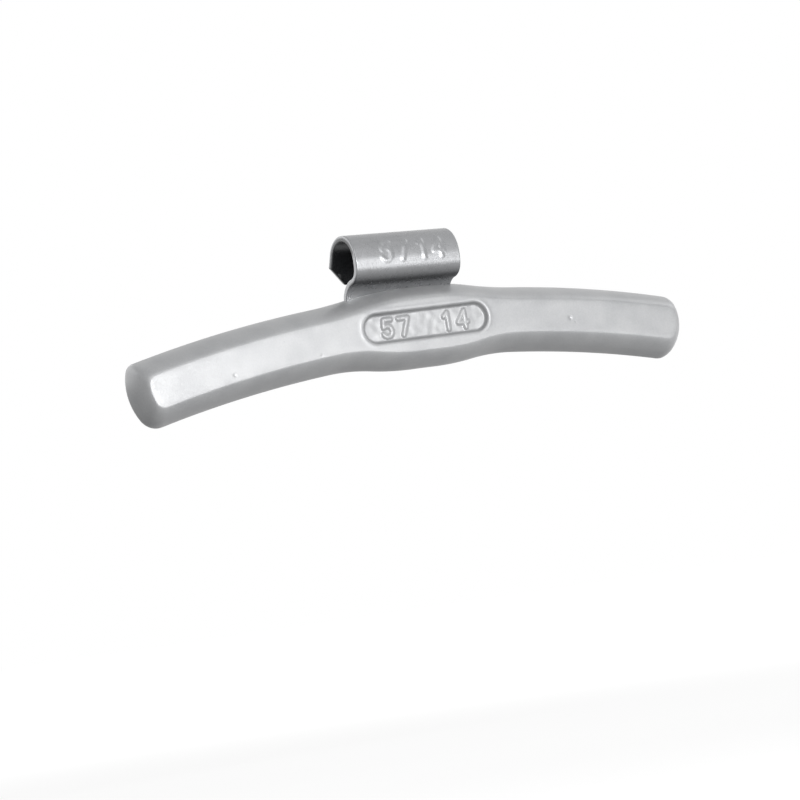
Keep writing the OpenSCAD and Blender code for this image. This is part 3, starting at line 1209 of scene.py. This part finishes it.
@dataclass
class BalanceWeight:
    """The two pieces, set together as they are staked."""

    bar: WeightBar = field(default_factory=WeightBar)
    clip: SpringClip = field(default_factory=SpringClip)
    bar_sharp: float = 38.0
    clip_sharp: float = 50.0
    bar_coat: SilverPowderCoat = SilverPowderCoat("silver_powder_coat_on_bar", "#B4B5B6", "#A3A4A6")
    clip_coat: SilverPowderCoat = SilverPowderCoat(
        "silver_powder_coat_on_clip",
        "#97989A",
        "#88898B",
        metallic=0.4,
        roughness=0.28,
        roughness_spread=0.02,
        grain_mm=1.1,
        wave_height_mm=0.006,
        peel_height_mm=0.0005,
        speck_share=0.0,
        streak_share=0.35,
    )

    @property
    def bar_place(self) -> Matrix:
        """Where the bar's own frame lies in the part's frame, in metres."""
        move = Matrix.Translation(Vector((self.clip.clip_off, self.clip.jaw_fore, -self.clip.jaw_up)) * MM)
        return move @ Matrix.Rotation(-math.radians(self.clip.clip_tilt), 4, "Y")

    def build(self) -> list[bpy.types.Object]:
        """Builds both pieces and hands them to the frame.

        Returns:
            The bar and the clip.
        """
        bar = self.build_bar()
        clip = put("spring_clip_dressed", self.clip.mesh())
        for piece, node, slot, coat in (
            (bar, "weight_body", Slot.BAR, self.bar_coat),
            (clip, "spring_clip", Slot.CLIP, self.clip_coat),
        ):
            piece.data.materials.clear()
            piece.data.materials.append(coat.material())
            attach(piece, BODY)
            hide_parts(node)
        self.shade(bar, math.radians(self.bar_sharp))
        self.shade(clip, math.radians(self.clip_sharp))
        return [bar, clip]

    def build_bar(self) -> bpy.types.Object:
        """Cuts the seat into the bar and adds the two studs that hold the tail.

        Returns:
            The bar in the part's frame.
        """
        mesh = self.bar.blank()
        mesh.transform(self.bar_place)
        blank = put("bar_blank", mesh)
        cutter = put("seat_cutter", self.clip.seat_cutter())
        cut = blank.modifiers.new("seat", "BOOLEAN")
        cut.operation = "DIFFERENCE"
        cut.solver = "EXACT"
        cut.object = cutter
        bpy.context.view_layer.update()
        ready = blank.evaluated_get(bpy.context.evaluated_depsgraph_get())
        result = bpy.data.meshes.new_from_object(ready)
        result.name = "weight_body_dressed"
        for o in (blank, cutter):
            bpy.data.objects.remove(o)
        self.add_studs(result)
        return put("weight_body_dressed", result)

    def add_studs(self, mesh: bpy.types.Mesh) -> None:
        """Adds the studs' shanks, spread heads and the dimple that the staking punch leaves.

        Args:
            mesh: The bar's mesh in the part's frame, which takes them in.
        """
        clip, bar = self.clip, self.bar
        z, back = -clip.jaw_up + clip.stud_up, clip.jaw_fore
        floor = back - clip.strip_t - clip.seat_gap
        # Radius and place in Y of each ring, from the seat's floor out to the head and into its dimple.
        profile = [(clip.stud_r, floor - bar.stud_root), (clip.stud_r, back - clip.head_t)]
        profile += [(clip.head_r - inward, back - below) for inward, below in bar.head_rim]
        profile += [(bar.dimple_r + bar.dimple_lip, back), (bar.dimple_r, back - bar.dimple_edge)]
        profile += [(bar.dimple_r * r, back - bar.dimple_t * t) for r, t in bar.dimple_bowl]
        draft = Draft()
        n = clip.hole_steps
        for x in (-clip.stud_pitch / 2, clip.stud_pitch / 2):
            rings = []
            for r, y in profile:
                rings.append(draft.add(np.insert(circle(x, z, r, n), 1, y, axis=1)))
            for a, b in zip(rings, rings[1:]):
                draft.band(a, b, n)
            draft.faces.append(tuple(range(rings[-1], rings[-1] + n)))
            draft.faces.append(tuple(range(rings[0], rings[0] + n)))
        work = bmesh.new()
        work.from_mesh(mesh)
        work.from_mesh(draft.mesh("studs"))
        work.to_mesh(mesh)
        work.free()

    @staticmethod
    def shade(piece: bpy.types.Object, angle: float) -> None:
        """Shades a piece smooth, apart from edges sharper than the angle."""
        piece.data.shade_smooth()
        piece.data.set_sharp_from_angle(angle=angle)


@dataclass(frozen=True)
class Softbox:
    """Rectangular softbox that faces the object, where a radiance of 1 is white."""

    name: str
    azimuth: float
    elevation: float
    away: float
    size: tuple[float, float]
    radiance: float

    def hang(self) -> None:
        """Hangs the softbox: azimuth 0 is in front of the bar, and positive toward its far end."""
        data = bpy.data.lights.new(self.name, "AREA")
        data.shape = "RECTANGLE"
        data.size, data.size_y = self.size
        data.energy = self.radiance * math.pi * self.size[0] * self.size[1]
        made = put(self.name, data)
        a, e = math.radians(self.azimuth), math.radians(self.elevation)
        place = Vector((math.sin(a) * math.cos(e), -math.cos(a) * math.cos(e), math.sin(e))) * self.away
        made.location = place
        made.rotation_euler = place.to_track_quat("Z", "Y").to_euler()
        made.visible_camera = False


@dataclass
class Studio:
    """White floor, soft light and the camera at the photograph's viewing angle.

    The camera's angles are in degrees and its distance in millimetres; the rest is in metres.
    """

    yaw: float = 30.63
    pitch: float = -4.05
    roll: float = -9.56
    distance: float = 600.0
    px_per_mm: float = 5.3
    principal_px: tuple[float, float] = (410.25, 327.34)
    fit_scale: float = 0.976
    sensor: float = 36.0
    near_clip: float = 0.01
    far_clip: float = 50.0
    floor_z: float = -0.09
    floor_reach: float = 6.0
    floor_paper: str = "#9C9C9C"
    floor_glow: tuple[float, float] = (0.75, 0.95)
    floor_glow_from: tuple[float, float] = (0.12, 0.45)
    world_strength: float = 0.18
    softboxes: tuple[Softbox, ...] = (
        Softbox("key_softbox", 15.1, 4.0, 1.2, (0.42, 0.16), 26.6),
        Softbox("low_softbox", 12.0, -7.5, 0.42, (0.42, 0.05), 6.5),
        Softbox("upper_softbox", 0.0, 30.0, 1.2, (1.0, 0.6), 2.1),
        Softbox("side_softbox", 85.0, 35.0, 1.3, (0.6, 0.6), 1.8),
        Softbox("rear_softbox", 212.0, 28.0, 2.2, (3.0, 2.0), 1.6),
    )

    def camera(self, bar_place: Matrix) -> None:
        """Sets the camera, given in the bar's frame by yaw, pitch and roll, onto the object.

        Args:
            bar_place: Where the bar's own frame lies.
        """
        al, be, ro = (math.radians(v) for v in (self.yaw, self.pitch, self.roll))
        ahead = Vector((math.sin(al) * math.cos(be), math.cos(al) * math.cos(be), -math.sin(be)))
        level = Vector((math.cos(al), -math.sin(al), 0.0))
        upright = level.cross(ahead)
        right = math.cos(ro) * level + math.sin(ro) * upright
        up = -math.sin(ro) * level + math.cos(ro) * upright
        away = self.distance * self.fit_scale * MM
        pose = Matrix.Identity(4)
        for column, axis in enumerate((right, up, -ahead, -ahead * away)):
            pose.col[column][:3] = axis
        pose = bar_place @ pose
        data = bpy.data.cameras.new("camera")
        data.sensor_width = self.sensor
        data.lens = self.px_per_mm * self.distance / PHOTO_SIDE_PX * self.sensor
        data.shift_x = (PHOTO_SIDE_PX / 2 - self.principal_px[0]) / PHOTO_SIDE_PX
        data.shift_y = (self.principal_px[1] - PHOTO_SIDE_PX / 2) / PHOTO_SIDE_PX
        data.clip_start, data.clip_end = self.near_clip, self.far_clip
        made = put("camera", data)
        made.matrix_world = pose
        bpy.context.scene.camera = made

    @staticmethod
    def seen_directly(tree: Tree) -> Socket:
        """Picks out the rays that show the plain background.

        Args:
            tree: The node tree that asks.

        Returns:
            1 for rays of camera, gloss and transmission, and 0 for the others.
        """
        path = add_node(tree, "ShaderNodeLightPath")
        share = path.outputs["Is Camera Ray"]
        for kind in ("Is Glossy Ray", "Is Transmission Ray"):
            both = {0: share, 1: path.outputs[kind]}
            share = add_node(tree, "ShaderNodeMath", {"operation": "MAXIMUM"}, both).outputs[0]
        return share

    def floor(self) -> None:
        """Lays the pale floor under the object.

        It is matt white paper, rolled smooth, which scatters light evenly and takes the object's
        shadow. A glow lifts it to the white of the photograph, more so far from the object.
        """
        reach = self.floor_reach
        corners = [(-reach, -reach), (reach, -reach), (reach, reach), (-reach, reach)]
        mesh = bpy.data.meshes.new("floor")
        mesh.from_pydata([(x, y, self.floor_z) for x, y in corners], [], [(0, 1, 2, 3)])
        plane = put("floor", mesh)
        made = bpy.data.materials.new("white_paper_floor")
        tree = empty_tree(made)
        paper = add_node(tree, "ShaderNodeBsdfDiffuse", {"Color": linear(self.floor_paper)})
        place = add_node(tree, "ShaderNodeTexCoord").outputs["Object"]
        away = add_node(tree, "ShaderNodeVectorMath", {"operation": "LENGTH"}, {0: place}).outputs["Value"]
        rising = add_node(
            tree,
            "ShaderNodeMapRange",
            {
                "interpolation_type": "SMOOTHSTEP",
                "From Min": self.floor_glow_from[0],
                "From Max": self.floor_glow_from[1],
                "To Min": self.floor_glow[0],
                "To Max": self.floor_glow[1],
            },
            {"Value": away},
        ).outputs[0]
        level = add_node(
            tree, "ShaderNodeMath", {"operation": "MULTIPLY"}, {0: self.seen_directly(tree), 1: rising}
        )
        glow = add_node(tree, "ShaderNodeEmission", links={"Strength": level.outputs[0]})
        both = add_node(tree, "ShaderNodeAddShader", links={0: paper.outputs[0], 1: glow.outputs[0]})
        add_node(tree, "ShaderNodeOutputMaterial", links={"Surface": both.outputs[0]})
        mesh.materials.append(made)

    def world(self) -> None:
        """Lights the object evenly from all round, and shows plain white to the camera."""
        made = bpy.data.worlds.new("studio")
        bpy.context.scene.world = made
        tree = empty_tree(made)
        white = linear("#FFFFFF")
        light = add_node(tree, "ShaderNodeBackground", {"Color": white, "Strength": self.world_strength})
        shown = add_node(tree, "ShaderNodeBackground", {"Color": white, "Strength": 1.0})
        mix = add_node(
            tree,
            "ShaderNodeMixShader",
            links={0: self.seen_directly(tree), 1: light.outputs[0], 2: shown.outputs[0]},
        )
        add_node(tree, "ShaderNodeOutputWorld", links={"Surface": mix.outputs[0]})

    def build(self, bar_place: Matrix) -> None:
        """Sets camera, floor, world and lamps.

        Args:
            bar_place: Where the bar's own frame lies.
        """
        self.camera(bar_place)
        self.floor()
        self.world()
        for softbox in self.softboxes:
            softbox.hang()


def main() -> None:
    """Builds the balance weight and its studio, and keeps both boxes."""
    logging.basicConfig(level=logging.INFO, format="%(name)s: %(message)s")
    bpy.context.scene.view_settings.view_transform = "Standard"
    weight = BalanceWeight()
    for piece in weight.build():
        LOG.info("%s: %d faces", piece.name, len(piece.data.polygons))
    Studio().build(weight.bar_place)


if __name__ == "__main__":
    main()
